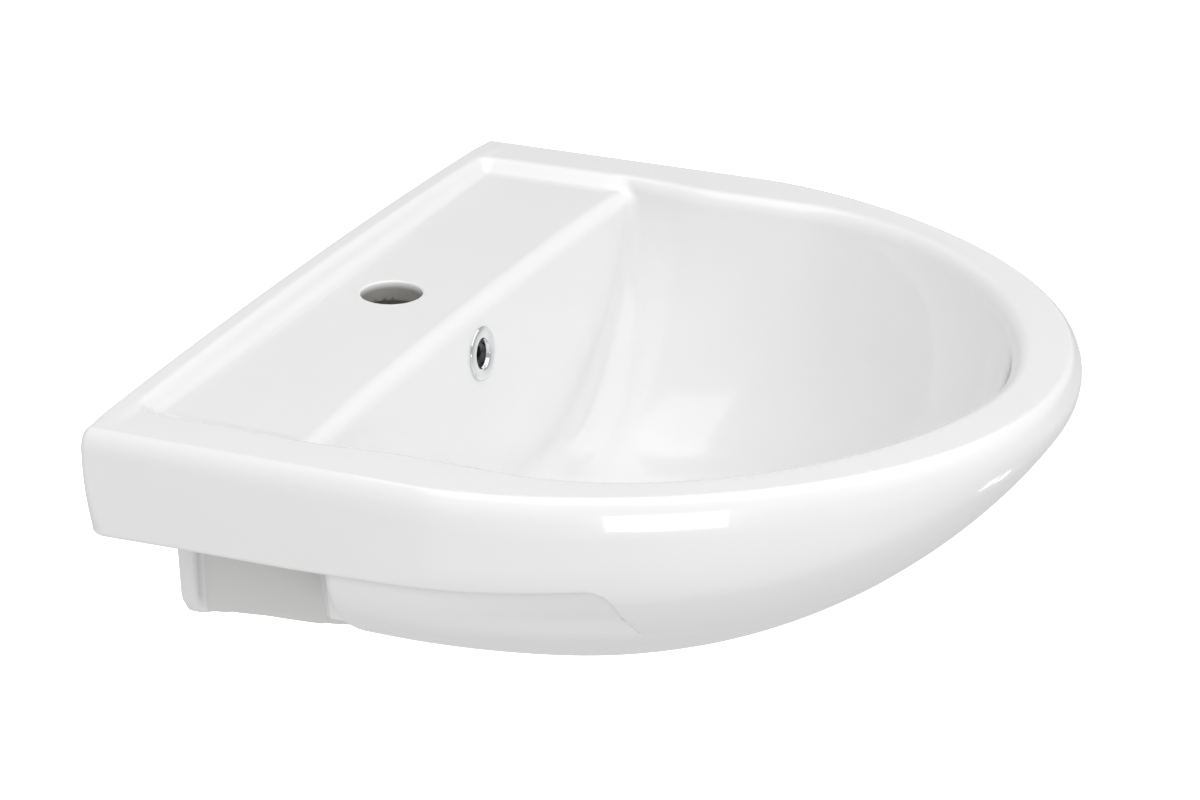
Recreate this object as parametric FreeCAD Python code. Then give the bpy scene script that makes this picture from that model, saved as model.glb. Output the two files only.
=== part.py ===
import FreeCAD, Part
import math
import os

from FreeCAD import Vector as V

os.makedirs("parts", exist_ok=True)

# ---------------------------------------------------------------------------
# Wall-hung D-shaped washbasin, one slip-cast glazed ceramic body with a tap
# hole, an overflow and a waste outlet. Millimetres. +Z is up, the wall is the
# plane Y = 0, the room is on the -Y side, X = 0 is the plane of symmetry and
# Z = 0 is the top of the rim.
# ---------------------------------------------------------------------------

# overall form
HALF = 252.0               # half width of the rim, straight back to the wall
ARC_B, ARC_Y0 = 259.7, -190.3   # front of the rim: reach and start of the curve
ARC_P, ARC_R = 1.60, 2.08       # and its exponents
DEPTH = ARC_B - ARC_Y0          # wall to front of rim
ROLL_R = 10.0              # roll along the top outer edge
FASCIA_H = 57.0            # depth of the band round the rim, at the sides
CORNER_R = 4.0             # upright rear corners
BOTTOM_Z = -159.0          # underside of the body

# front hull, below the band (plan superellipse scaled with height)
HULL_A, HULL_B, HULL_Y0, HULL_P = 286.3, 355.3, -111.7, 1.43
HULL_N, HULL_M, HULL_ZB, HULL_TOP = 2.39, 2.13, 160.0, 50.4
HULL_P1, HULL_SH = 1.60, 19.2   # change of exponent and of centre with depth

# inset side panels (plan superellipse scaled with height)
PAN_A, PAN_B, PAN_Y0, PAN_P = 244.5, 254.8, -146.7, 2.28
PAN_N, PAN_M, PAN_ZB, PAN_TOP = 1.3, 2.32, 160.0, -56.0
PAN_FOOT = -157.0          # lowest section of the side panels
PAN_REAR = -134.0          # rear end of the side panels
DIAG_Y, DIAG_Z, DIAG_SLOPE = -280.0, -50.0, 0.26   # slanting end of a panel
PANEL_IN, PANEL_MIN = 3.8, 0.8  # how far the panels sit inside the front, top and bottom

# bowl
BOWL_A, BOWL_B, BOWL_Y0, BOWL_P = 207.0, 186.0, -228.0, 1.76
BOWL_N, BOWL_M, BOWL_H = 2.8, 1.4, 146.0
BOWL_S2, BOWL_S4 = 15.0, 50.0   # the bowl's centre moves to the rear with depth
BOWL_FLOOR = -141.0
BOWL_REAR_Y, BOWL_LEAN = -107.3, math.tan(math.radians(5.4))
SKIN = 9.0                 # glazed ceramic wall

# deck
DECK_Z = -6.5
DECK_HALF = 212.0
DECK_BACK, DECK_FRONT = -14.0, -108.0
DECK_T = 12.5
RIDGE_RISE = 5.0           # arch of the upstand along the wall

# tap hole, overflow, outlet
TAP_Y, TAP_R = -54.0, 17.5
OVER_Z, OVER_HOLE_R = -34.9, 11.5
RING_OUT_R, RING_IN_R, RING_TUBE_R, SLEEVE_R = 15.6, 8.4, 9.6, 11.4
WASTE_Y, WASTE_R = -185.0, 22.5
WASTE_RECESS_R, WASTE_RECESS = 32.0, 3.0
BOSS_R = 37.0
BOSS_Z = -178.0            # end of the outlet boss

DUCT_HALF, DUCT_IN, DUCT_WALL = 15.0, 11.0, 7.0
DRAIN_R, DRAIN_X, DRAIN_Z = 6.0, 223.0, -34.0

# box behind the bowl and the web that bears on the wall
BOX_HALF = 150.0           # outer face of the box's side walls
WEB_HALF = 160.0
WEB_T = 11.0
WEB_BOTTOM = -148.2
FIX_X, FIX_Z, FIX_R = 120.0, -98.0, 7.0


def outline_w(y):
    q = min(max((ARC_Y0 - y) / ARC_B, 0.0), 1.0)
    return HALF * max(1 - q ** ARC_P, 0.0) ** (1 / ARC_R)


def outline_points(inset=0.0, n=26):
    """Right half, rear to nose, moved inwards along the normal."""
    base = [(HALF, 0.0), (HALF, ARC_Y0 * 0.33), (HALF, ARC_Y0 * 0.66)]
    for i in range(n - 2):
        q = math.sin(math.pi / 2 * i / (n - 3))
        base.append((outline_w(ARC_Y0 - ARC_B * q), ARC_Y0 - ARC_B * q))
    out = []
    for i, (x, y) in enumerate(base):
        a = base[max(i - 1, 0)]
        b = base[i + 1] if i < n else (-base[n - 1][0], base[n - 1][1])
        tx, ty = b[0] - a[0], b[1] - a[1]
        l = math.hypot(tx, ty)
        nx, ny = ty / l, -tx / l
        if i == 0:
            nx, ny = -1.0, 0.0
        if i == n:
            nx, ny = 0.0, 1.0
        out.append((x + nx * inset, y + ny * inset))
    return out


def spline(points):
    c = Part.BSplineCurve()
    c.interpolate([V(*p) for p in points])
    return c.toShape()


def u_wire(pts, z, rear_y=None):
    """Closed wire: a U-shaped spline mirrored about X = 0, and a rear line."""
    right = list(pts)
    if rear_y is not None:
        right = [(right[0][0], rear_y)] + right[1:]
    left = [(-x, y) for x, y in reversed(right[:-1])]
    full = [(x, y, z) for x, y in right + left]
    e = spline(full)
    l = Part.makeLine(V(*full[-1]), V(*full[0]))
    return Part.Wire([e, l])


def plan(a, b, y0, p, rear, n=14):
    """Right half of a superellipse with a straight side back to rear."""
    pts = [(a, rear), (a, rear + (y0 - rear) * 0.5)]
    for i in range(n + 1):
        t = math.pi / 2 * i / n
        pts.append((a * math.cos(t) ** (2 / p), y0 - b * math.sin(t) ** (2 / p)))
    return pts


def rho_at(z, zb, top, n, m):
    g = (z + zb) / (zb + top)
    g = min(max(g, 0.0), 1.0)
    return (1 - (1 - g) ** m) ** (1 / n)


def sstep(v, a, b):
    t = min(max((v - a) / (b - a), 0.0), 1.0)
    return t * t * (3 - 2 * t)


def hull_plan(z, rear, grow=0.0, n=14):
    """Section of the front hull: squarer and further back with depth."""
    t = min(max((HULL_TOP - z) / (HULL_ZB + HULL_TOP), 0.0), 1.0)
    r = rho_at(z, HULL_ZB, HULL_TOP, HULL_N, HULL_M)
    return plan(HULL_A * r + grow, HULL_B * r + grow, HULL_Y0 + HULL_SH * t * t, HULL_P + HULL_P1 * t, rear, n)


def hull(zs, rear, grow=0.0, lift=0.0):
    return Part.makeLoft([u_wire(hull_plan(z - lift, rear, grow), z) for z in zs], True, False)


def box(x0, x1, y0, y1, z0, z1):
    return Part.makeBox(x1 - x0, y1 - y0, z1 - z0, V(x0, y0, z0))


def cyl(r, h, pos, axis):
    return Part.makeCylinder(r, h, V(*pos), V(*axis))


# --- band and rim -----------------------------------------------------------

def prism(inset, z0, z1, rear=0.0):
    pts = outline_points(inset)
    w = u_wire(pts, z0, rear_y=rear)
    return Part.Face(w).extrude(V(0, 0, z1 - z0))


band = prism(0.0, -170.0, 0.0)
top_edges = [e for e in band.Edges
             if abs(e.BoundBox.ZMin) < 1e-6 and abs(e.BoundBox.ZMax) < 1e-6
             and e.BoundBox.YMin < -100]
band = band.makeFillet(ROLL_R, top_edges)

hull_zs = [14.0, -8.0, -30.0, -52.0, -74.0, -94.0, -112.0, -127.0, -139.0, -148.0, -154.0, BOTTOM_Z]
front_hull = hull(hull_zs, 5.0)

# the lower edge of the band rises a little towards the front
BAND_EDGE = [(10.0, -58.8), (-60.0, -FASCIA_H), (-120.0, -56.4), (-169.0, -54.6), (-194.0, -53.7),
             (-217.0, -52.9), (-239.0, -51.8), (-261.0, -50.4), (-278.0, -49.6), (-500.0, -49.6)]
above_edge = Part.Face(Part.makePolygon(
    [V(0, 10, 12)] + [V(0, y, z) for y, z in BAND_EDGE] + [V(0, -500, 12), V(0, 10, 12)])).extrude(V(620, 0, 0))
above_edge.translate(V(-310, 0, 0))
rear_band = band.common(above_edge).common(
    Part.makeLoft([u_wire(hull_plan(z, 5.0, 2.0), z) for z in hull_zs[:7]], True, False))

# everything in front of the slanting panel ends
top_y = DIAG_Y + (12.0 - DIAG_Z) * DIAG_SLOPE
low_y = DIAG_Y + (-175.0 - DIAG_Z) * DIAG_SLOPE
diag = Part.Face(Part.makePolygon([
    V(0, -600, 12), V(0, top_y, 12), V(0, low_y, -175), V(0, -600, -175), V(0, -600, 12)]))
diag = diag.extrude(V(620, 0, 0))
diag.translate(V(-310, 0, 0))
front_body = band.common(front_hull).common(diag)

pan_zs = [-43.0, -56.0, -68.0, -74.0, -80.0, -87.0, -97.0, -108.0, -121.0, -132.0, -141.0, -148.0, -153.5, PAN_FOOT]


def pan_section(z, rear=PAN_REAR, grow=0.0):
    """Side panels: their own plan at the rear, running into the front hull's, a little inside it."""
    n = 16
    inset = PANEL_MIN + (PANEL_IN - PANEL_MIN) * (1 - sstep(-z, 70.0, 88.0))
    r = rho_at(z, PAN_ZB, PAN_TOP, PAN_N, PAN_M)
    rear_plan = plan(PAN_A * r + grow, PAN_B * r + grow, PAN_Y0, PAN_P, rear, n)
    front_plan = hull_plan(z, rear, grow - inset, n)
    pts = rear_plan[:2]
    for (xa, ya), (xb, yb) in zip(rear_plan[2:], front_plan[2:]):
        w = sstep(-(ya + yb) / 2, 150.0, 265.0)
        if xb < 1e-6:
            w = 1.0 if z > -130 else w
        pts.append((xa * (1 - w) + xb * w, ya * (1 - w) + yb * w))
    return u_wire(pts, z)


panels = Part.makeLoft([pan_section(z) for z in pan_zs], True, False)

# --- box and web behind the bowl ---------------------------------------------

# web against the wall, with rounded lower corners
web = box(-WEB_HALF, WEB_HALF, -WEB_T, 0, WEB_BOTTOM, -30)
web = web.makeFillet(22.0, [e for e in web.Edges
                            if abs(e.BoundBox.ZMax - WEB_BOTTOM) < 1e-6 and e.BoundBox.YLength > 5
                            and e.BoundBox.XLength < 1e-6])
side = Part.Face(Part.makePolygon([V(0, -2, -20), V(0, -142, -20), V(0, -142, -127.5), V(0, -110, -136.0), V(0, -87, -140.0), V(0, -44, -143.0),
    V(0, -2, -146.5), V(0, -2, -20)]))
side_l = side.extrude(V(SKIN, 0, 0))
side_r = side_l.copy()
side_l.translate(V(-BOX_HALF, 0, 0))
side_r.translate(V(BOX_HALF - SKIN, 0, 0))


def lean(z):
    return BOWL_REAR_Y + BOWL_LEAN * (z - DECK_Z)


# leaning wall behind the bowl; its upper part reaches past the box on each side
def lean_slab(y_back, y_front, z_top, z_low, half):
    f = Part.Face(Part.makePolygon([
        V(0, lean(z_top) + y_back, z_top), V(0, y_front, z_top), V(0, y_front, z_low),
        V(0, lean(z_low) + y_back, z_low), V(0, lean(z_top) + y_back, z_top)])).extrude(V(2 * half, 0, 0))
    f.translate(V(-half, 0, 0))
    return f


rear_hull = Part.makeLoft([pan_section(z, -95.0, -2.5) for z in pan_zs[:-1] + [PAN_FOOT + 1.0]], True, False)
wall = lean_slab(SKIN, -150.0, -8.0, -158.0, BOX_HALF).common(rear_hull)
wall_up = lean_slab(SKIN, -150.0, -8.0, -122.0, 196.0).common(rear_hull)

# ridge along the wall
ridge_arc = Part.Arc(V(-HALF + 6, 0, -2.0), V(0, 0, RIDGE_RISE), V(HALF - 6, 0, -2.0)).toShape()
ridge_line = Part.makeLine(V(HALF - 6, 0, -2.0), V(-HALF + 6, 0, -2.0))
ridge = Part.Face(Part.Wire([ridge_arc, ridge_line])).extrude(V(0, -13.0, 0))

body = rear_band.fuse(front_body)
body = body.fuse(panels)
boss = Part.makeCone(BOSS_R + 8.0, BOSS_R, 40.0, V(0, WASTE_Y, BOSS_Z + 40.0), V(0, 0, -1))
body = body.fuse([web, side_l, side_r, wall, wall_up]).fuse(boss)

# --- bowl ---------------------------------------------------------------------

BOWL_LEVELS = [14.0, 0.0, -9.0, -24.0, -44.0, -64.0, -84.0, -101.0, -115.0, -126.0, -134.0, -138.5, BOWL_FLOOR]


def bowl_scale(z):
    t = max(-z / BOWL_H, 0.0)
    return (1 - t ** BOWL_M) ** (1 / BOWL_N)


def bowl_loft(grow=0.0, drop=0.0, rear_shift=0.0):
    ws = []
    for z in BOWL_LEVELS:
        s = bowl_scale(z) + (0.002 * z if z > 0 else 0.0)
        zz = z - (drop if z < 5 else 0.0)
        t = max(-z, 0.0) / BOWL_H
        y0 = BOWL_Y0 + BOWL_S2 * t ** 2 + BOWL_S4 * t ** 4
        ws.append(u_wire(plan(BOWL_A * s + grow, BOWL_B * s + grow, y0, BOWL_P, lean(z) + rear_shift), zz))
    return Part.makeLoft(ws, True, False)


bowl = bowl_loft()

# --- hollow between the bowl and the outer skin --------------------------------
inner = prism(SKIN, -156.0, -SKIN - 1.0, rear=-SKIN)
inner_hull = hull([23.0, 1.0, -21.0, -43.0, -65.0, -85.0, -103.0, -118.0, -130.0, -139.0, -146.0], -60.0, grow=-8.0, lift=9.0)
bowl_out = bowl_loft(grow=10.5, drop=10.0, rear_shift=SKIN)
hollow = inner.common(inner_hull).cut(bowl_out)
hollow = hollow.cut(box(-400, 400, -138, 20, -200, 20))
hollow = hollow.cut(cyl(BOSS_R + 6.0, 80, (0, WASTE_Y, -200), (0, 0, 1)))
print("hollow", hollow.isValid(), hollow.Volume / 1e6, len(hollow.Solids))

# open-bottomed space in the box behind the bowl
space = Part.Face(Part.makePolygon([
    V(0, -WEB_T, DECK_Z - DECK_T), V(0, lean(DECK_Z) + SKIN, DECK_Z - DECK_T),
    V(0, lean(-136) + SKIN, -136), V(0, lean(-136) + SKIN, -180), V(0, -WEB_T, -180), V(0, -WEB_T, DECK_Z - DECK_T)]))
space = space.extrude(V(2 * (BOX_HALF - SKIN), 0, 0))
space.translate(V(-(BOX_HALF - SKIN), 0, 0))

# open-bottomed pockets under the ends of the deck
pocket_r = Part.Face(Part.makePolygon([
    V(0, -WEB_T, DECK_Z - DECK_T), V(0, lean(DECK_Z) + SKIN, DECK_Z - DECK_T),
    V(0, lean(-70) + SKIN, -70), V(0, -WEB_T, -70), V(0, -WEB_T, DECK_Z - DECK_T)]))
pocket_r = pocket_r.extrude(V(HALF - SKIN - 2 - BOX_HALF, 0, 0))
pocket_r.translate(V(BOX_HALF, 0, 0))
pocket_l = pocket_r.mirror(V(0, 0, 0), V(1, 0, 0))

deck = box(-DECK_HALF, DECK_HALF, DECK_FRONT - 4, DECK_BACK, DECK_Z, 12)
deck = deck.makeFillet(5.0, [e for e in deck.Edges if abs(e.BoundBox.ZMax - DECK_Z) < 1e-6
                             and e.BoundBox.YMax > DECK_FRONT])

body = body.cut(space).cut(pocket_r).cut(pocket_l)
body = body.cut(hollow)
body = body.cut(bowl)
body = body.cut(deck)
body = body.fuse(ridge)
body = body.cut(cyl(TAP_R, 60, (0, TAP_Y, -45), (0, 0, 1)))
body = body.cut(cyl(WASTE_R, 90, (0, WASTE_Y, -190), (0, 0, 1)))
body = body.cut(cyl(WASTE_RECESS_R, 40, (0, WASTE_Y, BOWL_FLOOR - WASTE_RECESS), (0, 0, 1)))
for sx in (-1, 1):
    body = body.cut(cyl(FIX_R, 60, (sx * FIX_X, 10, FIX_Z), (0, -1, 0)))

# overflow: hole through the leaning wall, duct down behind it, tunnel to the outlet
lean_len = math.hypot(1.0, BOWL_LEAN)
N_BOWL = V(0, -1.0 / lean_len, BOWL_LEAN / lean_len)      # out of the wall, into the bowl
OVER = V(0, lean(OVER_Z), OVER_Z)
duct = lean_slab(SKIN + DUCT_IN + DUCT_WALL, -140.0, DECK_Z - DECK_T + 1.0, -158.0, DUCT_HALF + DUCT_WALL)
duct = duct.cut(lean_slab(SKIN - 1.0, -190.0, DECK_Z - DECK_T + 3.0, -148.0, DUCT_HALF + DUCT_WALL + 5))
passage = Part.Face(Part.makePolygon([
    V(0, lean(-25) + SKIN - 0.5, -25), V(0, lean(-25) + SKIN + DUCT_IN, -25),
    V(0, lean(-152) + SKIN + DUCT_IN, -152.5), V(0, WASTE_Y, -154.5), V(0, WASTE_Y, -148.0),
    V(0, lean(-147) + SKIN - 0.5, -147.0), V(0, lean(-25) + SKIN - 0.5, -25)]))
passage = passage.extrude(V(2 * DUCT_HALF, 0, 0))
passage.translate(V(-DUCT_HALF, 0, 0))
body = body.fuse(duct).cut(passage)
over_hole = Part.makeCylinder(OVER_HOLE_R, SKIN + 12.0, OVER + N_BOWL * 8.0, N_BOWL * -1)
body = body.cut(over_hole)

# slip drains from the hollow rim into the pockets under the deck
for sx in (-1, 1):
    body = body.cut(cyl(DRAIN_R, 40, (sx * DRAIN_X, -118, DRAIN_Z), (0, -1, 0)))

body = body.removeSplitter()
print("body", body.isValid(), len(body.Solids), body.Volume / 1e6, "L", body.BoundBox)
body.exportStep("parts/basin_body.step")


# --- overflow ring and its sleeve ----------------------------------------------

def turned(profile):
    """Solid of revolution; profile is (radius, height above the wall)."""
    w = Part.makePolygon([V(r, 0, h) for r, h in profile + profile[:1]])
    sol = Part.Face(w).revolve(V(0, 0, 0), V(0, 0, 1), 360)
    sol.Placement = FreeCAD.Placement(OVER, FreeCAD.Rotation(V(0, 0, 1), N_BOWL))
    return sol


RING_T = 2.1
ring = turned([
    (RING_IN_R, -9.0), (RING_TUBE_R, -9.0), (RING_TUBE_R, 0.9), (13.2, 0.9), (13.2, 0.0), (RING_OUT_R, 0.0),
    (RING_OUT_R, 0.5), (15.2, 1.1), (14.5, 1.6), (13.4, 2.0), (12.4, RING_T), (11.2, 2.0), (10.0, 1.7),
    (9.1, 1.1), (8.6, 0.3), (RING_IN_R, -0.6)])
ring.exportStep("parts/overflow_ring.step")

# push-in sleeve: collar under the ring, tube through the wall, catch behind it
sleeve = turned([
    (RING_TUBE_R, -(SKIN + 4.0)), (SLEEVE_R - 0.9, -(SKIN + 4.0)), (SLEEVE_R + 0.9, -(SKIN + 1.4)), (SLEEVE_R + 0.9, -(SKIN + 0.5)),
    (SLEEVE_R, -(SKIN + 0.5)), (SLEEVE_R, 0.0), (13.2, 0.0), (13.2, 0.9), (RING_TUBE_R, 0.9)])
sleeve.exportStep("parts/overflow_sleeve.step")
print("ring", ring.isValid(), ring.Volume, "sleeve", sleeve.isValid(), sleeve.Volume)
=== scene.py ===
import math

import bpy
import numpy as np
from mathutils import Matrix, Vector


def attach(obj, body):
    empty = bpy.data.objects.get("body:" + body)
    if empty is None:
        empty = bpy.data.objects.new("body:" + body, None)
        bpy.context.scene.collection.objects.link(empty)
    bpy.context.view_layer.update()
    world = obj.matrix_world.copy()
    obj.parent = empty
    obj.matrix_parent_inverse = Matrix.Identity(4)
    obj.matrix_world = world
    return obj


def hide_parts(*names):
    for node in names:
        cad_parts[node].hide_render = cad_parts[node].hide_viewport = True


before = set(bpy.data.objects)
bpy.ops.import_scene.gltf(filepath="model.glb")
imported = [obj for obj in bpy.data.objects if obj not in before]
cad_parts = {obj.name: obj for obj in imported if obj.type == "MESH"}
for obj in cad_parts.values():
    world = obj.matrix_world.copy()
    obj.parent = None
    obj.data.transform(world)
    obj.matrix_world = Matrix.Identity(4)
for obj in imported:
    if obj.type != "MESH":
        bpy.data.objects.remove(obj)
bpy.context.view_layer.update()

# The basin as one smooth solid: a signed field in millimetres, negative inside.
# +Z up, wall at Y = 0, room towards -Y, rim top at Z = 0, symmetric about X = 0.

HALF, ARC_B, ARC_Y0, ARC_P, ARC_R = 252.0, 259.7, -190.3, 1.60, 2.08
ROLL_R = 9.0
HULL = (286.3, 355.3, -111.7, 1.43, 2.39, 2.13, 160.0, 50.4)
HULL_P1, HULL_SH = 1.60, 19.2
PANEL_IN = 3.8
PANEL = (244.5, 254.8, -146.7, 2.28, 1.3, 2.32, 160.0, -56.0)
PANEL_REAR = -134.0
DIAG_Y, DIAG_Z, DIAG_S = -280.0, -50.0, 0.26
BOWL_A, BOWL_B, BOWL_Y0, BOWL_P = 206.2, 186.0, -228.0, 1.76
BOWL_N, BOWL_M, BOWL_H, FLOOR = 2.8, 1.4, 146.0, -141.0
BOWL_S2, BOWL_S4 = 15.0, 50.0
REAR_Y, LEAN = -107.3, 0.09453
DECK_Z, DECK_BACK, DECK_T = -6.5, -14.0, 12.5
SKIN = 9.0
TAP_Y, TAP_R = -54.0, 17.5
OVER_Z, OVER_R = -34.9, 11.5
WASTE_Y, WASTE_R, RECESS_R, RECESS = -185.0, 22.5, 32.0, 3.0
BOSS_R, BOSS_Z, BOTTOM = 37.0, -178.0, -165.0
BOX_HALF, WEB_HALF, WEB_T, WEB_Z = 150.0, 160.0, 11.0, -148.2
FIX_X, FIX_Z, FIX_R = 120.0, -98.0, 7.0
DUCT_HALF, DUCT_IN, DUCT_WALL = 15.0, 11.0, 7.0


def rint(a, b, r):
    """Both, with a convex edge of radius r."""
    return np.minimum(np.maximum(a, b), -r) + np.hypot(np.maximum(a + r, 0.0), np.maximum(b + r, 0.0))


def runi(a, b, r):
    """Either, with a concave fillet of radius r."""
    return np.maximum(np.minimum(a, b), r) - np.hypot(np.maximum(r - a, 0.0), np.maximum(r - b, 0.0))


def rell(a, b, ra, rb):
    """Both, with a quarter ellipse for an edge: ra deep along a, rb along b."""
    u, v = a / ra + 1.0, b / rb + 1.0
    h = np.hypot(np.maximum(u, 0.0), np.maximum(v, 0.0))
    near = (h - 1.0) * np.hypot(np.maximum(u, 0.0), np.maximum(v, 0.0)) / np.maximum(
        np.hypot(np.maximum(u, 0.0) / ra, np.maximum(v, 0.0) / rb), 1e-4)
    deep = np.maximum(a, b)
    w = np.clip(np.minimum(u, v) / 0.25, 0.0, 1.0)
    return np.where((u > 0) & (v > 0), near * w + deep * (1 - w), deep)


def sstep(v, a, b):
    t = np.clip((v - a) / (b - a), 0.0, 1.0)
    return t * t * (3.0 - 2.0 * t)


def outline(x, y):
    ax = np.abs(x) / HALF
    q = np.maximum((ARC_Y0 - y) / ARC_B, 0.0)
    g = ax ** ARC_R + q ** ARC_P - 1.0
    gx = ARC_R / HALF * ax ** (ARC_R - 1.0)
    gy = ARC_P / ARC_B * q ** (ARC_P - 1.0)
    return g / np.maximum(np.hypot(gx, gy), 2e-3)


def shell(x, y, z, a, b, y0, p, n, m, zb, top):
    """Outside of a hull whose plan shrinks with depth: rho^n + t^m = 1."""
    ax = np.abs(x) / a
    q = np.maximum((y0 - y) / b, 0.0)
    t = np.maximum((top - z) / (zb + top), 0.0)
    s = np.maximum(ax ** p + q ** p, 1e-5)
    g = s ** (n / p) + t ** m - 1.0
    k = n * s ** (n / p - 1.0)
    gx = k * ax ** (p - 1.0) / a
    gy = k * q ** (p - 1.0) / b
    gz = m * t ** (m - 1.0) / (zb + top)
    return g / np.maximum(np.sqrt(gx * gx + gy * gy + gz * gz), 2e-3)


def hull(x, y, z):
    """The front hull; its plan gets squarer and its centre moves to the rear with depth."""
    a, b, y0, p0, n, m, zb, top = HULL
    t = np.maximum((top - z) / (zb + top), 0.0)
    tc = np.minimum(t, 1.0)
    p = p0 + HULL_P1 * tc
    ax = np.abs(x) / a
    q = np.maximum((y0 + HULL_SH * tc * tc - y) / b, 0.0)
    s = np.maximum(ax ** p + q ** p, 1e-5)
    g = s ** (n / p) + t ** m - 1.0
    k = n * s ** (n / p - 1.0)
    gx = k * ax ** (p - 1.0) / a
    gy = k * q ** (p - 1.0) / b
    gz = m * t ** (m - 1.0) / (zb + top)
    return g / np.maximum(np.sqrt(gx * gx + gy * gy + gz * gz), 2e-3)


def lean(z):
    return REAR_Y + LEAN * (z - DECK_Z)


def rim_top(x, y):
    """Height of the rim: flat, with a low arched upstand along the wall."""
    arch = 4.7 * np.maximum(1.0 - (np.abs(x) / 240.0) ** 2.2, 0.0)
    return arch * sstep(y, -18.0, -9.0)


def bowl_side(x, y, z):
    """Walls of the basin's opening, from the deck sides round the bowl, inside negative."""
    a = BOWL_A + 7.0 * sstep(y, -165.0, -100.0)
    ax = np.abs(x) / a
    t = np.maximum(-z / BOWL_H, 0.0)
    tc = np.minimum(t, 1.0)
    q = np.maximum((BOWL_Y0 + BOWL_S2 * tc ** 2 + BOWL_S4 * tc ** 4 - y) / BOWL_B, 0.0)
    s = np.maximum(ax ** BOWL_P + q ** BOWL_P, 1e-5)
    g = s ** (BOWL_N / BOWL_P) + t ** BOWL_M - 1.0
    k = BOWL_N * s ** (BOWL_N / BOWL_P - 1.0)
    gx = k * ax ** (BOWL_P - 1.0) / a
    gy = k * q ** (BOWL_P - 1.0) / BOWL_B
    gz = BOWL_M * t ** (BOWL_M - 1.0) / BOWL_H
    return g / np.maximum(np.sqrt(gx * gx + gy * gy + gz * gz), 2.5e-3)


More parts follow.
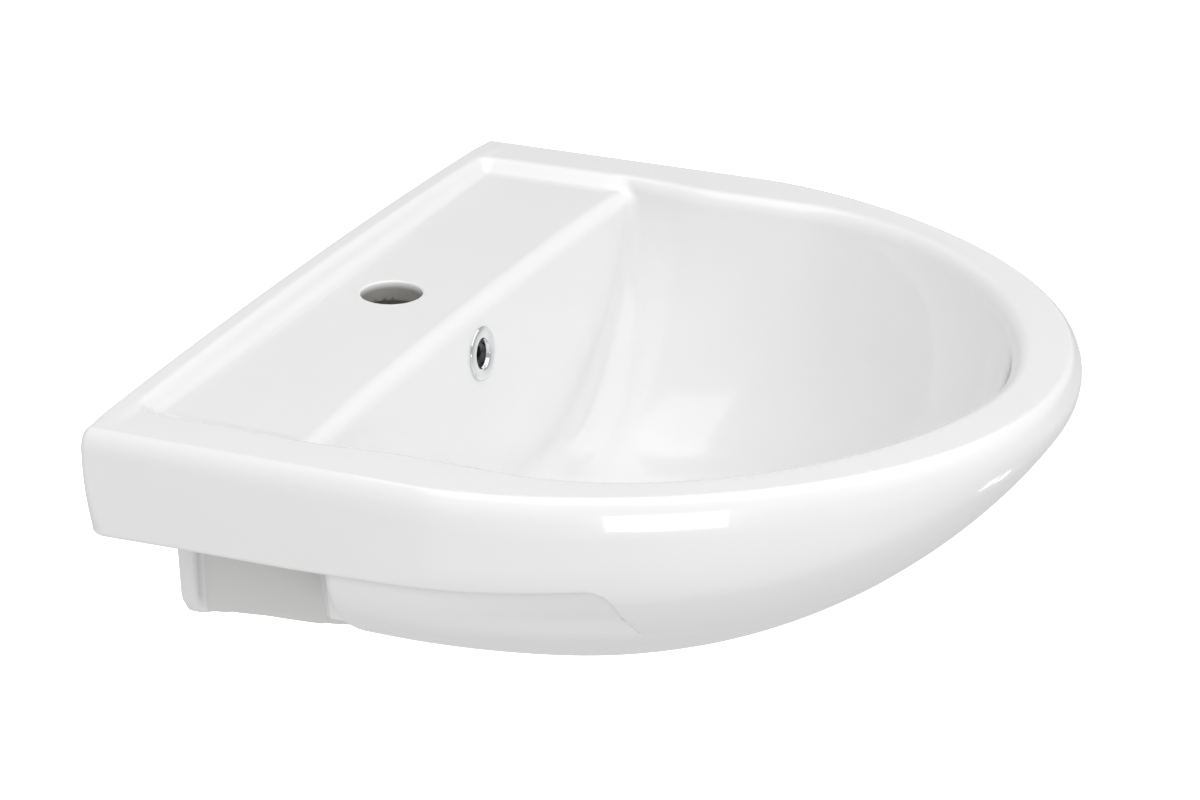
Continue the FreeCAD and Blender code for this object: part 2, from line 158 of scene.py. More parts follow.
def field(x, y, z):
    ax = np.abs(x)
    ln = lean(z)
    # band round the rim, its lower part drawn in a little
    draft = 0.5 * np.clip((-z - 14.0) / 42.0, 0.0, 1.5) ** 2
    upright = 4.0 + 8.0 * np.clip((-z - 16.0) / 38.0, 0.0, 1.0) ** 2
    fall = np.interp(y, [-300.0, -120.0, 0.0], [22.0, 13.0, 11.0])
    f = rell(z - rim_top(x, y), outline(x, y) + draft, fall, ROLL_R + 0.0 * x)
    t = sstep(ax, 222.0, 246.0)
    f = rint(f, y, 2.0 * (1.0 - t) + upright * t)
    h = hull(x, y, z)
    f = rint(f, h - 9.0 * sstep(y, -105.0, -48.0), 4.0)
    # the front runs down to the outlet; behind the slanting ends only the band is left
    front = (y - (DIAG_Y + (z - DIAG_Z) * DIAG_S)) / 1.033
    band = np.interp(y, [-278.0, -261.0, -239.0, -217.0, -194.0, -169.0, -120.0, -60.0, 0.0],
                     [-49.6, -50.4, -51.8, -52.9, -53.7, -54.6, -56.4, -57.2, -58.6])
    f = rint(f, runi(band - z, front, 8.0), 2.6)
    f = np.maximum(f, BOTTOM - z)
    # inset side panels, flush with the front lower down
    w = sstep(-y, 150.0, 272.0)
    inset = PANEL_IN * (1.0 - sstep(-z, 70.0, 88.0))
    p = (1.0 - w) * shell(x, y, z, *PANEL) + w * (h + inset)
    p = rint(p, y - PANEL_REAR, 6.0)
    p = np.maximum(np.maximum(p, BOTTOM - z), z + 40.0)
    f = runi(f, p, np.interp(-z, [70.0, 90.0], [1.5, 0.4]))
    # leaning wall behind the bowl
    w = np.maximum(y - (ln + SKIN), -150.0 - y)
    ends = np.where(z > -122.0, 196.0, np.maximum(BOX_HALF, 196.0 + (z + 122.0) * 4.0))
    w = rint(w, np.maximum(shell(x, np.full_like(y, -160.0), z, *PANEL) + 2.5, ax - ends), 3.0)
    w = np.maximum(w, z + 9.0)
    f = runi(f, w, 3.0)
    # box: two side walls and a web that bears on the wall
    s = rint(np.maximum(np.abs(ax - (BOX_HALF - SKIN / 2)) - SKIN / 2, z + 20.0), np.interp(y, [-140.0, -110.0, -87.0, -44.0, -10.0, 0.0], [-132.0, -138.0, -141.5, -144.8, -148.0, -148.2]) - z, 2.5)
    s = np.maximum(s, np.maximum(y + 2.0, -140.0 - y))
    f = runi(f, s, 3.0)
    corner = rint(ax - (WEB_HALF + 1.2 + 0.05 * (z + 100.0)), WEB_Z - z, 15.0)
    web = rint(np.maximum(corner, z + 28.0), np.maximum(-WEB_T - y, y), 3.0)
    f = runi(f, np.maximum(web, y), 6.0)
    # overflow duct down the back of the leaning wall
    du = rint(np.maximum(ax - DUCT_HALF - DUCT_WALL, y - (ln + SKIN + DUCT_IN + DUCT_WALL)), np.maximum(-142.0 - y, np.maximum(z + 18.0, -158.0 - z)), 4.0)
    f = runi(f, du, 4.0)
    # outlet boss
    rw = np.hypot(x, y - WASTE_Y)
    bo = rint((rw - (BOSS_R + 8.0 * (z - BOSS_Z) / 40.0)) * 0.98, BOSS_Z - z, 3.0)
    bo = np.maximum(bo, z + 138.0)
    f = runi(f, bo, 9.0)
    # open-bottomed spaces behind the bowl
    back = np.maximum(ln + SKIN - y, y + WEB_T)
    top = z - (DECK_Z - DECK_T)
    sp = rint(rint(back, ax - (BOX_HALF - SKIN), 5.0), top, 6.0)
    f = rint(f, -np.maximum(sp, -du), 1.5)
    po = rint(rint(back, np.maximum(ax - (HALF - SKIN - 2.0), BOX_HALF - ax), 6.0), top, 6.0)
    po = np.maximum(po, -70.0 - z)
    f = rint(f, -po, 2.0)
    # basin: side walls, then the shelf of the deck and the leaning rear wall
    bs = rint(bowl_side(x, y, z), FLOOR - z, 20.0)
    bow = 6.5 * (np.minimum(ax, 225.0) / 212.0) ** 3
    shelf = rint(z - DECK_Z, (ln - bow - y) / 1.0045, 8.5)
    fil = np.interp(-z, [0.0, 7.0, 20.0, 60.0, 130.0], [4.5, 5.0, 7.5, 12.0, 25.0])
    fil = fil + (11.0 - fil) * sstep(y, -112.0, -97.0)
    cut = rint(bs, -shelf, fil)
    cut = rint(cut, y - DECK_BACK, 7.0)
    edge = np.interp(-y, [14.0, 30.0, 105.0, 135.0, 500.0], [4.0, 5.0, 6.0, 8.5, 8.5])
    f = rint(f, -cut, edge)
    # tap hole
    f = rint(f, TAP_R - np.hypot(x, y - TAP_Y), 1.3)
    # outlet
    f = rint(f, np.maximum(WASTE_R - rw, -200.0 - z), 1.5)
    f = rint(f, -rint(rw - RECESS_R, FLOOR - RECESS - z, 2.0), 3.0)
    # overflow hole and its passage
    n = 1.0 / np.sqrt(1.0 + LEAN * LEAN)
    h = (y - lean(OVER_Z)) * -n + (z - OVER_Z) * LEAN * n
    ty = (y - lean(OVER_Z)) * LEAN * n + (z - OVER_Z) * n
    ro = np.hypot(x, ty)
    f = rint(f, -np.maximum(ro - OVER_R, np.maximum(h - 8.0, -(SKIN + 6.0) - h)), 0.8)
    pa = np.maximum(np.maximum(ax - DUCT_HALF, np.maximum(ln + SKIN - 0.5 - y, y - (ln + SKIN + DUCT_IN))), np.maximum(z + 25.0, -153.0 - z))
    tu = np.maximum(np.maximum(ax - DUCT_HALF, np.maximum(z - (-146.8 + 0.015 * (y + 110.0)), -(z - (-153.0 + 0.02 * (y + 110.0))))), np.maximum(y - (ln + SKIN + DUCT_IN), WASTE_Y - y))
    f = np.maximum(f, -np.minimum(pa, tu))
    # fixing holes
    fh = np.hypot(ax - FIX_X, z - FIX_Z) - FIX_R
    f = rint(f, -np.maximum(fh, -(y + 20.0)), 1.0)
    return np.maximum(f, y)


def spaced(lo, hi, base, fine):
    """Grid lines from lo to hi: base spacing, tighter inside each (a, b, step) of fine."""
    pts = [lo]
    while pts[-1] < hi - 1e-6:
        v = pts[-1]
        step = base
        for a, b, s in fine:
            d = max(a - v, v - b, 0.0)
            step = min(step, s + 0.35 * d)
        pts.append(v + step)
    pts = np.array(pts)
    return lo + (pts - lo) * (hi - lo) / (pts[-1] - lo)


def grid_field(X, Y, Z, fn):
    """Values on the grid; X is symmetric about 0, so only its right half is worked out."""
    h = len(X) // 2
    right = X[h:]
    out = np.empty((len(right), len(Y), len(Z)))
    gy, gz = np.meshgrid(Y, Z, indexing="ij")
    for i, x in enumerate(right):
        out[i] = fn(np.full_like(gy, x), gy, gz)
    mirror = out[::-1]
    if len(X) % 2:
        mirror = mirror[:-1]
    return np.concatenate([mirror, out], 0)


def surface(X, Y, Z, F):
    """Surface nets: one vertex in each cell that the surface crosses, one quad round each crossed grid edge."""
    ins = F < 0.0
    nx, ny, nz = F.shape
    cnt = np.zeros((nx - 1, ny - 1, nz - 1))
    acc = np.zeros((3, nx - 1, ny - 1, nz - 1))
    G = (X, Y, Z)
    for ax in range(3):
        a = [slice(None)] * 3
        b = [slice(None)] * 3
        a[ax] = slice(0, -1)
        b[ax] = slice(1, None)
        fa, fb = F[tuple(a)], F[tuple(b)]
        cr = ins[tuple(a)] != ins[tuple(b)]
        t = np.where(cr, fa / np.where(cr, fa - fb, 1.0), 0.0)
        shp = [1, 1, 1]
        shp[ax] = -1
        g0 = G[ax][:-1].reshape(shp)
        g1 = G[ax][1:].reshape(shp)
        pos = []
        for k in range(3):
            if k == ax:
                pos.append(g0 + t * (g1 - g0))
            else:
                s2 = [1, 1, 1]
                s2[k] = -1
                pos.append(np.broadcast_to(G[k].reshape(s2), cr.shape))
        o = [k for k in range(3) if k != ax]
        for i in (0, 1):
            for j in (0, 1):
                sl = [slice(None)] * 3
                sl[o[0]] = slice(0, -1) if i == 0 else slice(1, None)
                sl[o[1]] = slice(0, -1) if j == 0 else slice(1, None)
                c = cr[tuple(sl)]
                cnt += c
                for k in range(3):
                    acc[k] += np.where(c, pos[k][tuple(sl)], 0.0)
    act = cnt > 0
    idx = -np.ones(cnt.shape, np.int64)
    n = int(act.sum())
    idx[act] = np.arange(n)
    V = np.stack([acc[k][act] / cnt[act] for k in range(3)], 1)
    quads = []
    for ax in range(3):
        a = [slice(None)] * 3
        b = [slice(None)] * 3
        a[ax] = slice(0, -1)
        b[ax] = slice(1, None)
        ia, ib = ins[tuple(a)], ins[tuple(b)]
        cr = ia != ib
        o = [(ax + 1) % 3, (ax + 2) % 3]
        sl = [slice(None)] * 3
        sl[o[0]] = slice(1, -1)
        sl[o[1]] = slice(1, -1)
        w = np.argwhere(cr[tuple(sl)])
        w[:, o[0]] += 1
        w[:, o[1]] += 1
        s = ia[tuple(w.T)]
        c = []
        for i, j in ((-1, -1), (0, -1), (0, 0), (-1, 0)):
            q = w.copy()
            q[:, o[0]] += i
            q[:, o[1]] += j
            c.append(idx[tuple(q.T)])
        Q = np.stack(c, 1)
        Q[~s] = Q[~s][:, ::-1]
        quads.append(Q)
    return V, np.concatenate(quads)


def gradient(P, fn, e=0.05):
    g = np.empty_like(P)
    for k in range(3):
        d = np.zeros(3)
        d[k] = e
        a, b = P + d, P - d
        g[:, k] = (fn(a[:, 0], a[:, 1], a[:, 2]) - fn(b[:, 0], b[:, 1], b[:, 2])) / (2 * e)
    return g


def settle(V, fn, rounds=4, most=1.2):
    for _ in range(rounds):
        f = fn(V[:, 0], V[:, 1], V[:, 2])
        g = gradient(V, fn)
        s = -f / np.maximum((g * g).sum(1), 0.05)
        step = g * s[:, None]
        L = np.linalg.norm(step, axis=1)
        step *= np.minimum(1.0, most / np.maximum(L, 1e-9))[:, None]
        V = V + step
    return V


def unit(v):
    return v / np.maximum(np.linalg.norm(v, axis=1), 1e-9)[:, None]


def refine(V, T, N, angle, shortest, skip):
    """Splits the edges across which the surface turns by more than angle degrees; skip marks vertices left coarse."""
    n = len(T)
    E = np.stack([T[:, [0, 1]], T[:, [1, 2]], T[:, [2, 0]]], 1).reshape(-1, 2)
    E = np.sort(E, axis=1)
    U, inv = np.unique(E, axis=0, return_inverse=True)
    inv = inv.reshape(n, 3)
    dot = (N[U[:, 0]] * N[U[:, 1]]).sum(1)
    length = np.linalg.norm(V[U[:, 0]] - V[U[:, 1]], axis=1)
    cutm = (dot < math.cos(math.radians(angle))) & (length > shortest) & ~(skip[U[:, 0]] & skip[U[:, 1]])
    mid = -np.ones(len(U), np.int64)
    mid[cutm] = len(V) + np.arange(int(cutm.sum()))
    newV = (V[U[cutm, 0]] + V[U[cutm, 1]]) / 2.0
    M = mid[inv]
    out = []
    k = (M >= 0).sum(1)
    out.append(T[k == 0])
    t, q = T[k == 3], M[k == 3]
    out += [np.stack([t[:, 0], q[:, 0], q[:, 2]], 1), np.stack([q[:, 0], t[:, 1], q[:, 1]], 1),
            np.stack([q[:, 2], q[:, 1], t[:, 2]], 1), np.stack([q[:, 0], q[:, 1], q[:, 2]], 1)]
    for e in range(3):
        a, b, c = e, (e + 1) % 3, (e + 2) % 3
        w = (k == 1) & (M[:, e] >= 0)
        t, q = T[w], M[w]
        out += [np.stack([t[:, a], q[:, e], t[:, c]], 1), np.stack([q[:, e], t[:, b], t[:, c]], 1)]
        w = (k == 2) & (M[:, e] < 0)
        t, q = T[w], M[w]
        m1, m2 = q[:, (e + 1) % 3], q[:, (e + 2) % 3]
        out += [np.stack([m1, t[:, c], m2], 1), np.stack([t[:, a], t[:, b], m1], 1), np.stack([t[:, a], m1, m2], 1)]
    return np.concatenate([V, newV]), np.concatenate(out), len(V)


def triangles(V, Q):
    """Each quad cut along its shorter diagonal."""
    d1 = np.linalg.norm(V[Q[:, 0]] - V[Q[:, 2]], axis=1)
    d2 = np.linalg.norm(V[Q[:, 1]] - V[Q[:, 3]], axis=1)
    a = Q[d1 <= d2]
    b = Q[d1 > d2]
    return np.concatenate([a[:, [0, 1, 2]], a[:, [0, 2, 3]], b[:, [1, 2, 3]], b[:, [1, 3, 0]]])


def tucked_away(V):
    """Inside the spaces behind the bowl, where a coarser mesh will do."""
    x, y, z = V.T
    return (y > lean(z) + 5.0) & (y < -7.0) & (np.abs(x) < 244.0) & (z < -15.0)

# ---- pieces ----------------------------------------------------------------

def to_object(name, verts, faces, normals=None, mats=()):
    """A mesh object from arrays in metres."""
    me = bpy.data.meshes.new(name)
    faces = np.asarray(faces)
    n, k = faces.shape
    me.vertices.add(len(verts))
    me.vertices.foreach_set("co", np.asarray(verts, np.float32).ravel())
    me.loops.add(n * k)
    me.loops.foreach_set("vertex_index", faces.astype(np.int32).ravel())
    me.polygons.add(n)
    me.polygons.foreach_set("loop_start", (np.arange(n) * k).astype(np.int32))
    me.polygons.foreach_set("use_smooth", np.ones(n, bool))
    for m in mats:
        me.materials.append(m)
    me.update(calc_edges=True)
    me.validate()
    if normals is not None:
        me.normals_split_custom_set_from_vertices([tuple(v) for v in normals])
    ob = bpy.data.objects.new(name, me)
    bpy.context.scene.collection.objects.link(ob)
    return ob


# ---- materials -------------------------------------------------------------

def new_mat(name):
    m = bpy.data.materials.new(name)
    m.use_nodes = True
    nt = m.node_tree
    return m, nt, nt.nodes["Principled BSDF"]


def node(nt, kind, **kw):
    n = nt.nodes.new(kind)
    for k, v in kw.items():
        setattr(n, k, v)
    return n


def noise(nt, coord, scale, detail=3.0, rough=0.5):
    n = node(nt, "ShaderNodeTexNoise")
    n.inputs["Scale"].default_value = scale
    n.inputs["Detail"].default_value = detail
    n.inputs["Roughness"].default_value = rough
    nt.links.new(coord.outputs["Object"], n.inputs["Vector"])
    return n.outputs["Fac"]


def ramp(nt, fac, stops):
    r = node(nt, "ShaderNodeValToRGB")
    r.color_ramp.elements[0].position, r.color_ramp.elements[0].color = stops[0][0], (*stops[0][1], 1)
    r.color_ramp.elements[1].position, r.color_ramp.elements[1].color = stops[-1][0], (*stops[-1][1], 1)
    for p, c in stops[1:-1]:
        e = r.color_ramp.elements.new(p)
        e.color = (*c, 1)
    nt.links.new(fac, r.inputs["Fac"])
    return r.outputs["Color"]


def remap(nt, fac, lo, hi):
    m = node(nt, "ShaderNodeMapRange")
    m.inputs["To Min"].default_value = lo
    m.inputs["To Max"].default_value = hi
    nt.links.new(fac, m.inputs["Value"])
    return m.outputs["Result"]


def bump(nt, layers):
    """Stacked bumps; layers is [(height, strength, distance)]."""
    last = None
    for h, s, d in layers:
        b = node(nt, "ShaderNodeBump")
        b.inputs["Strength"].default_value = s
        b.inputs["Distance"].default_value = d
        nt.links.new(h, b.inputs["Height"])
        if last is not None:
            nt.links.new(last, b.inputs["Normal"])
        last = b.outputs["Normal"]
    return last


def glaze():
    m, nt, p = new_mat("white_glaze")
    c = node(nt, "ShaderNodeTexCoord")
    tone = noise(nt, c, 9.0, 4.0, 0.55)
    col = ramp(nt, tone, [(0.30, (0.800, 0.803, 0.802)), (0.55, (0.815, 0.817, 0.815)), (0.78, (0.826, 0.827, 0.823))])
    # painted shade down the wall of the tap hole: below the deck the colour inside the hole goes dark grey
    away = node(nt, "ShaderNodeVectorMath", operation="MULTIPLY_ADD")
    away.inputs[1].default_value = (1.0, 1.0, 0.0)
    away.inputs[2].default_value = (0.0, -TAP_Y / 1000.0, 0.0)
    nt.links.new(c.outputs["Object"], away.inputs[0])
    far = node(nt, "ShaderNodeVectorMath", operation="LENGTH")
    nt.links.new(away.outputs["Vector"], far.inputs[0])
    inside = node(nt, "ShaderNodeMath", operation="LESS_THAN")
    inside.inputs[1].default_value = (TAP_R + 1.2) / 1000.0
    nt.links.new(far.outputs["Value"], inside.inputs[0])
    xyz = node(nt, "ShaderNodeSeparateXYZ")
    nt.links.new(c.outputs["Object"], xyz.inputs["Vector"])
    down = node(nt, "ShaderNodeMapRange", interpolation_type="SMOOTHSTEP")
    down.inputs["From Min"].default_value = (DECK_Z - 1.3) / 1000.0
    down.inputs["From Max"].default_value = (DECK_Z - 5.0) / 1000.0
    down.inputs["To Min"].default_value = 0.0
    down.inputs["To Max"].default_value = 1.0
    nt.links.new(xyz.outputs["Z"], down.inputs["Value"])
    tap_hole_shade = node(nt, "ShaderNodeMath", operation="MULTIPLY")
    nt.links.new(inside.outputs["Value"], tap_hole_shade.inputs[0])
    nt.links.new(down.outputs["Result"], tap_hole_shade.inputs[1])
    mix = node(nt, "ShaderNodeMix", data_type="RGBA")
    nt.links.new(tap_hole_shade.outputs["Value"], mix.inputs["Factor"])
    nt.links.new(col, mix.inputs["A"])
    mix.inputs["B"].default_value = (0.34, 0.335, 0.32, 1.0)
    # and painted shade in the hollow beside the box: the colour there is darkened a little
    slope = node(nt, "ShaderNodeMath", operation="MULTIPLY_ADD")
    slope.inputs[1].default_value = -LEAN
    nt.links.new(xyz.outputs["Z"], slope.inputs[0])
    nt.links.new(xyz.outputs["Y"], slope.inputs[2])
    back = node(nt, "ShaderNodeMath", operation="GREATER_THAN")
    back.inputs[1].default_value = -0.1020
    nt.links.new(slope.outputs["Value"], back.inputs[0])
    front = node(nt, "ShaderNodeMath", operation="LESS_THAN")
    front.inputs[1].default_value = -0.0125
    nt.links.new(xyz.outputs["Y"], front.inputs[0])
    below = node(nt, "ShaderNodeMapRange", interpolation_type="SMOOTHSTEP")
    below.inputs["From Min"].default_value = -0.0590
    below.inputs["From Max"].default_value = -0.0605
    below.inputs["To Min"].default_value = 0.0
    below.inputs["To Max"].default_value = 1.0
    nt.links.new(xyz.outputs["Z"], below.inputs["Value"])
    both = node(nt, "ShaderNodeMath", operation="MULTIPLY")
    nt.links.new(back.outputs["Value"], both.inputs[0])
    nt.links.new(front.outputs["Value"], both.inputs[1])
    hollow_shade = node(nt, "ShaderNodeMath", operation="MULTIPLY")
    nt.links.new(both.outputs["Value"], hollow_shade.inputs[0])
    nt.links.new(below.outputs["Result"], hollow_shade.inputs[1])
    mix2 = node(nt, "ShaderNodeMix", data_type="RGBA")
    nt.links.new(hollow_shade.outputs["Value"], mix2.inputs["Factor"])
    nt.links.new(mix.outputs["Result"], mix2.inputs["A"])
    mix2.inputs["B"].default_value = (0.690, 0.690, 0.685, 1.0)
    nt.links.new(mix2.outputs["Result"], p.inputs["Base Color"])
    nt.links.new(remap(nt, noise(nt, c, 60.0, 3.0), 0.16, 0.22), p.inputs["Roughness"])
    nt.links.new(bump(nt, [(noise(nt, c, 14.0, 2.0), 0.05, 0.0020), (noise(nt, c, 120.0, 2.0), 0.03, 0.0004)]), p.inputs["Normal"])
    p.inputs["IOR"].default_value = 1.5
    p.inputs["Coat Weight"].default_value = 0.9
    p.inputs["Coat Roughness"].default_value = 0.025
    p.inputs["Coat IOR"].default_value = 1.52
    return m


def bisque():
    """Bare fired clay where the casting has no glaze: the face on the wall and the foot of the outlet."""
    m, nt, p = new_mat("bare_clay")
    c = node(nt, "ShaderNodeTexCoord")
    col = ramp(nt, noise(nt, c, 55.0, 6.0, 0.65), [(0.28, (0.66, 0.63, 0.57)), (0.52, (0.74, 0.715, 0.66)), (0.80, (0.79, 0.77, 0.72))])
    nt.links.new(col, p.inputs["Base Color"])
    nt.links.new(remap(nt, noise(nt, c, 240.0, 3.0), 0.78, 0.95), p.inputs["Roughness"])
    nt.links.new(bump(nt, [(noise(nt, c, 900.0, 4.0, 0.7), 0.35, 0.0003)]), p.inputs["Normal"])
    return m


def shaded_rough_clay():
    """Inside of the casting, unglazed and rougher than the face on the wall; its dark grey colour is painted shade for
    the closed spaces behind the bowl.
    """
    m, nt, p = new_mat("shaded_rough_clay")
    c = node(nt, "ShaderNodeTexCoord")
    col = ramp(nt, noise(nt, c, 40.0, 6.0, 0.65), [(0.28, (0.29, 0.28, 0.26)), (0.52, (0.36, 0.35, 0.33)), (0.80, (0.42, 0.41, 0.385))])
    nt.links.new(col, p.inputs["Base Color"])
    nt.links.new(remap(nt, noise(nt, c, 200.0, 3.0), 0.82, 0.97), p.inputs["Roughness"])
    nt.links.new(bump(nt, [(noise(nt, c, 700.0, 4.0, 0.7), 0.45, 0.0004)]), p.inputs["Normal"])
    return m


def chrome():
    m, nt, p = new_mat("chrome_plate")
    c = node(nt, "ShaderNodeTexCoord")
    nt.links.new(ramp(nt, noise(nt, c, 90.0, 3.0), [(0.3, (0.78, 0.785, 0.80)), (0.75, (0.86, 0.865, 0.875))]), p.inputs["Base Color"])
    nt.links.new(remap(nt, noise(nt, c, 500.0, 3.0), 0.045, 0.10), p.inputs["Roughness"])
    nt.links.new(bump(nt, [(noise(nt, c, 300.0, 2.0), 0.03, 0.0002)]), p.inputs["Normal"])
    p.inputs["Metallic"].default_value = 1.0
    return m


def plastic():
    m, nt, p = new_mat("grey_moulding")
    c = node(nt, "ShaderNodeTexCoord")
    nt.links.new(ramp(nt, noise(nt, c, 160.0, 4.0), [(0.3, (0.50, 0.505, 0.51)), (0.75, (0.58, 0.585, 0.59))]), p.inputs["Base Color"])
    nt.links.new(remap(nt, noise(nt, c, 700.0, 3.0), 0.42, 0.58), p.inputs["Roughness"])
    nt.links.new(bump(nt, [(noise(nt, c, 1500.0, 3.0), 0.15, 0.0001)]), p.inputs["Normal"])
    return m


GLAZE, CLAY, SHADED_CLAY, CHROME, PLASTIC = glaze(), bisque(), shaded_rough_clay(), chrome(), plastic()

# the casting
half = spaced(0.0, 257.0, 5.2, [(0, 2, 2.6), (8, 19, 2.4), (148, 162, 3.2)])
GX = np.concatenate([-half[::-1][:-1], half])
GY = spaced(-456.0, 4.0, 5.2, [(-74, -34, 3.6), (-118, -104, 3.0), (-18, 4, 2.6)])
GZ = spaced(-183.0, 9.0, 5.2, [(-12, 6, 2.2), (-60, -50, 2.2), (-46, -24, 3.6)])
verts, quads = surface(GX, GY, GZ, grid_field(GX, GY, GZ, field))
verts = settle(verts, field)
tris = triangles(verts, quads)
nrm = unit(gradient(verts, field))
for angle, shortest in ((13.0, 2.0), (12.0, 1.3)):
    verts, tris, k = refine(verts, tris, nrm, angle, shortest, tucked_away(verts))
    verts[k:] = settle(verts[k:], field)
    nrm = np.concatenate([nrm, unit(gradient(verts[k:], field))])
# the turn from the near rim into the bowl is seen edge on
turn = bowl_side(verts[:, 0], verts[:, 1], verts[:, 2])
rest = ~((verts[:, 0] < 80.0) & (verts[:, 1] < -60.0) & (verts[:, 2] > -16.0) & (turn > -5.0) & (turn < 11.0))
verts, tris, k = refine(verts, tris, nrm, 6.0, 0.8, rest)
verts[k:] = settle(verts[k:], field)
nrm = np.concatenate([nrm, unit(gradient(verts[k:], field))])
basin = to_object("basin", verts / 1000.0, tris, nrm, (GLAZE, CLAY, SHADED_CLAY))
mid = verts[tris].mean(1)
face_n = unit(np.cross(verts[tris[:, 1]] - verts[tris[:, 0]], verts[tris[:, 2]] - verts[tris[:, 0]]))
bare = ((mid[:, 1] > -0.25) & (face_n[:, 1] > 0.9)) | ((mid[:, 2] < BOSS_Z + 0.4) & (face_n[:, 2] < -0.9))
mx, my, mz = np.abs(mid[:, 0]), mid[:, 1], mid[:, 2]
# painted shade: faces inside the spaces behind the bowl take the dark rough clay
behind = (my > lean(mz) + SKIN - 3.0) & (my < 0.5 - WEB_T) & (mz < DECK_Z - 3.0)
cavity_shade = (behind & (mx < BOX_HALF - SKIN + 0.6)) | (behind & (mx > BOX_HALF - 0.6) & (mx < HALF - 9.0) & (mz > -56.0))
cavity_shade &= ~((np.hypot(mid[:, 0], my - TAP_Y) < TAP_R + 1.0) & (mz > DECK_Z - DECK_T + 2.0))
basin.data.polygons.foreach_set("material_index", np.where(bare, 1, np.where(cavity_shade, 2, 0)).astype(np.int32))
basin.data.update()
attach(basin, "root")
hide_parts("basin_body")


def lathe(name, profile, mat, seg=160):
    """Closed profile of (radius, height) turned about the overflow's axis."""
    k = 1.0 / math.sqrt(1.0 + LEAN * LEAN)
    axis = Vector((0.0, -k, LEAN * k))
    e1 = Vector((1.0, 0.0, 0.0))
    e2 = axis.cross(e1)
    o = Vector((0.0, lean(OVER_Z), OVER_Z))
    vs = []
    for i in range(seg):
        a = 2.0 * math.pi * i / seg
        d = e1 * math.cos(a) + e2 * math.sin(a)
        vs += [tuple((o + d * r + axis * h) / 1000.0) for r, h in profile]
    n = len(profile)
    fs = [(i * n + j, i * n + (j + 1) % n, ((i + 1) % seg) * n + (j + 1) % n, ((i + 1) % seg) * n + j)
          for i in range(seg) for j in range(n)]
    ob = to_object(name, np.array(vs), np.array(fs), None, (mat,))
    return ob


def arc(cx, cy, rx, ry, a0, a1, n):
    return [(cx + rx * math.cos(math.radians(a0 + (a1 - a0) * i / n)), cy + ry * math.sin(math.radians(a0 + (a1 - a0) * i / n)))
            for i in range(n + 1)]


# the stem is turned with fine grooves inside
grooves = [(8.4 - 0.45 * (i % 2), -0.9 - 0.55 * i) for i in range(14)]
ring_profile = (arc(15.3, 0.3, 0.3, 0.3, -90, 0, 4) + arc(12.6, 0.3, 3.0, 1.7, 4, 90, 16)
                + arc(12.6, 0.2, 3.9, 1.8, 96, 172, 16) + grooves + [(8.4, -8.8), (8.6, -9.0), (9.4, -9.0), (9.6, -8.8),
                (9.6, -4.0), (9.6, 0.9), (9.8, 1.0), (13.0, 1.0), (13.2, 0.8), (13.2, 0.0)])
ring = lathe("overflow_trim", ring_profile, CHROME)
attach(ring, "root")
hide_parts("overflow_ring")

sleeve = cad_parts["overflow_sleeve"]
for s in sleeve.material_slots:
    s.material = PLASTIC
if not sleeve.material_slots:
    sleeve.data.materials.append(PLASTIC)

# ---- floor, light, camera ---------------------------------------------------

floor = to_object("floor", np.array([(-30, -30, -0.80), (30, -30, -0.80), (30, 30, -0.80), (-30, 30, -0.80)], float), np.array([[0, 1, 2, 3]]))
fm, fnt, fp = new_mat("pale_floor")
fc = node(fnt, "ShaderNodeTexCoord")
fnt.links.new(ramp(fnt, noise(fnt, fc, 0.8, 2.0), [(0.3, (0.93, 0.93, 0.93)), (0.7, (0.95, 0.95, 0.95))]), fp.inputs["Base Color"])
fp.inputs["Roughness"].default_value = 0.9
fp.inputs["Specular IOR Level"].default_value = 0.1
fp.inputs["Emission Color"].default_value = (1, 1, 1, 1)
fp.inputs["Emission Strength"].default_value = 0.9
floor.data.materials.append(fm)
floor.visible_diffuse = False
floor.visible_glossy = False

scene = bpy.context.scene
world = bpy.data.worlds.new("studio")
scene.world = world
world.use_nodes = True
wn = world.node_tree
bg = wn.nodes["Background"]
tc = node(wn, "ShaderNodeTexCoord")
sep = node(wn, "ShaderNodeSeparateXYZ")
wn.links.new(tc.outputs["Generated"], sep.inputs["Vector"])
wm = node(wn, "ShaderNodeMapRange")
wm.inputs["From Min"].default_value = -1.0
wm.inputs["From Max"].default_value = 1.0
wn.links.new(sep.outputs["Z"], wm.inputs["Value"])
wr = node(wn, "ShaderNodeValToRGB")
els = wr.color_ramp.elements
els[0].position, els[0].color = 0.0, (0.71, 0.71, 0.71, 1)
els[1].position, els[1].color = 1.0, (0.49, 0.49, 0.49, 1)
for pos, v in ((0.36, 0.71), (0.46, 0.47), (0.50, 0.38), (0.56, 0.58), (0.62, 0.60), (0.66, 0.49)):
    e = els.new(pos)
    e.color = (v, v, v, 1)
wn.links.new(wm.outputs["Result"], wr.inputs["Fac"])
wn.links.new(wr.outputs["Color"], bg.inputs["Color"])
bg.inputs["Strength"].default_value = 1.0


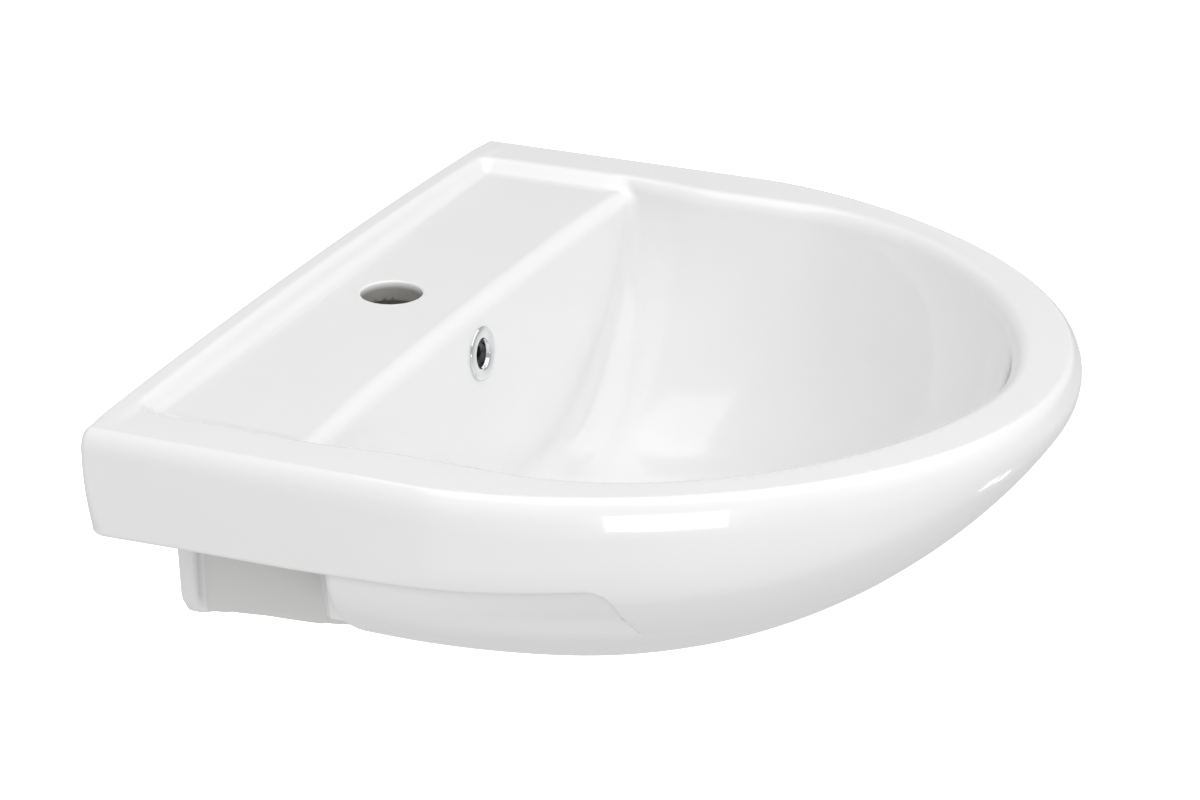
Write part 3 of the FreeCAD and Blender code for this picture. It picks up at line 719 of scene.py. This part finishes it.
def panel(name, at, to, w, h, watts, mirrored=True):
    """A soft rectangular light facing a point; one that is not mirrored leaves no image of itself in the glaze."""
    ld = bpy.data.lights.new(name, "AREA")
    ld.shape = "RECTANGLE"
    ld.size, ld.size_y = w, h
    ld.energy = watts
    ob = bpy.data.objects.new(name, ld)
    ob.location = at
    ob.rotation_euler = (Vector(to) - Vector(at)).to_track_quat("-Z", "Y").to_euler()
    ob.visible_glossy = mirrored
    scene.collection.objects.link(ob)
    return ob


panel("top_light", (0.1, -0.7, 2.6), (0.0, -0.25, 0.0), 4.4, 3.6, 43.0)
panel("front_light", (0.3, -2.6, 1.5), (0.0, -0.2, -0.03), 1.8, 1.4, 25.0, False)
panel("left_light", (-2.7, -0.2, 1.7), (0.0, -0.2, -0.03), 1.6, 1.4, 24.0, False)
panel("far_light", (2.4, -0.6, 1.8), (0.0, -0.2, -0.03), 1.6, 1.4, 6.0, False)
panel("side_light", (-1.50, -1.245, 0.06), (-0.215, -0.306, -0.012), 0.66, 0.74, 4.6)
# two small low windows that streak the turn of the front under the far end of the rim
for k, (a, w) in enumerate(((31.0, 0.09), (40.5, 0.06))):
    d = Vector((math.sin(math.radians(a)) * 0.766, -math.cos(math.radians(a)) * 0.766, -0.643))
    at = Vector((0.15, -0.38, -0.07)) + d * 1.0
    streak = panel("low_window_%d" % k, tuple(at), (0.15, -0.38, -0.07), w, 0.07, 0.05)
    streak.visible_camera = False
    streak.visible_diffuse = False

C = Vector((-1638.9, -882.8, 713.4)) / 1000.0
AZ, EL = math.radians(-66.86), math.radians(23.22)
back = Vector((math.sin(AZ) * math.cos(EL), -math.cos(AZ) * math.cos(EL), math.sin(EL)))
right = Vector((math.cos(AZ), math.sin(AZ), 0.0))
up = back.cross(right)
cam = bpy.data.cameras.new("view")
cam.sensor_width = 36.0
cam.lens = 3476.38 * 36.0 / 1200.0
cam.clip_start, cam.clip_end = 0.05, 100.0
co = bpy.data.objects.new("view", cam)
co.matrix_world = Matrix(((right.x, up.x, back.x, C.x), (right.y, up.y, back.y, C.y), (right.z, up.z, back.z, C.z), (0, 0, 0, 1)))
scene.collection.objects.link(co)
scene.camera = co
scene.view_settings.view_transform = "Standard"
scene.view_settings.look = "None"
scene.view_settings.exposure = 0.0
